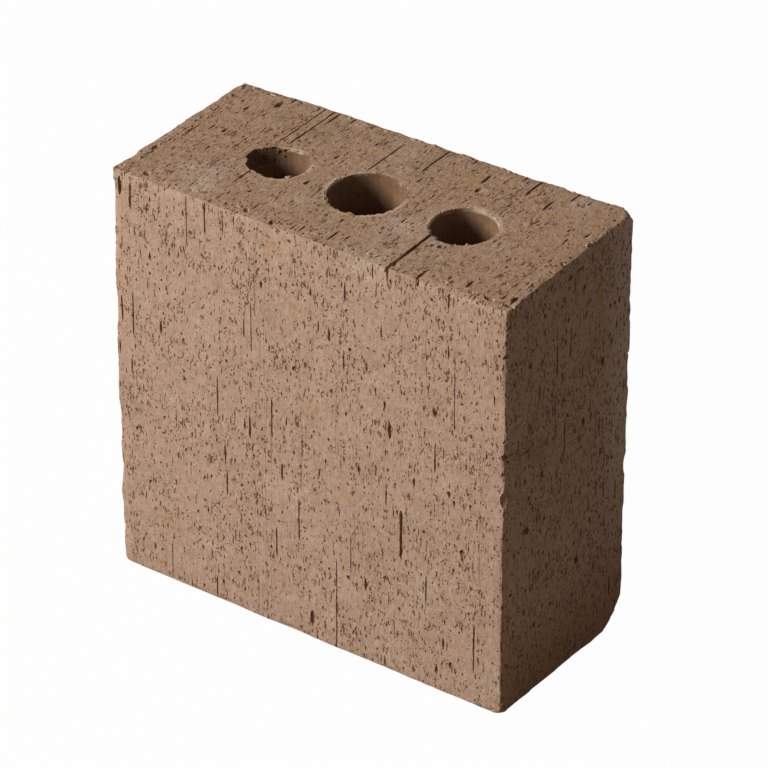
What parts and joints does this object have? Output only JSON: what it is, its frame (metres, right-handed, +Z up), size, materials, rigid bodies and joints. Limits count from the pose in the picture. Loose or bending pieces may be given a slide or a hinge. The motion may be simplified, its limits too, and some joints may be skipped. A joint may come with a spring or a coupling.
{
  "type": "earth block",
  "caption": "Wire-cut earth block for walls, extruded in one piece with round cores from bed to bed.",
  "frame": {"origin": "middle of the outline, on the level that the block stands on", "axes": "+X along the wide face, +Y through the thickness from front to back, +Z up along the cores"},
  "size_m": [0.2196, 0.1, 0.2183],
  "materials": {
    "earth": "matt raw clay, dragged and pitted by the die and the wire"
  },
  "bodies": {
    "root": {"earth_block": "earth"}
  },
  "joints": []
}
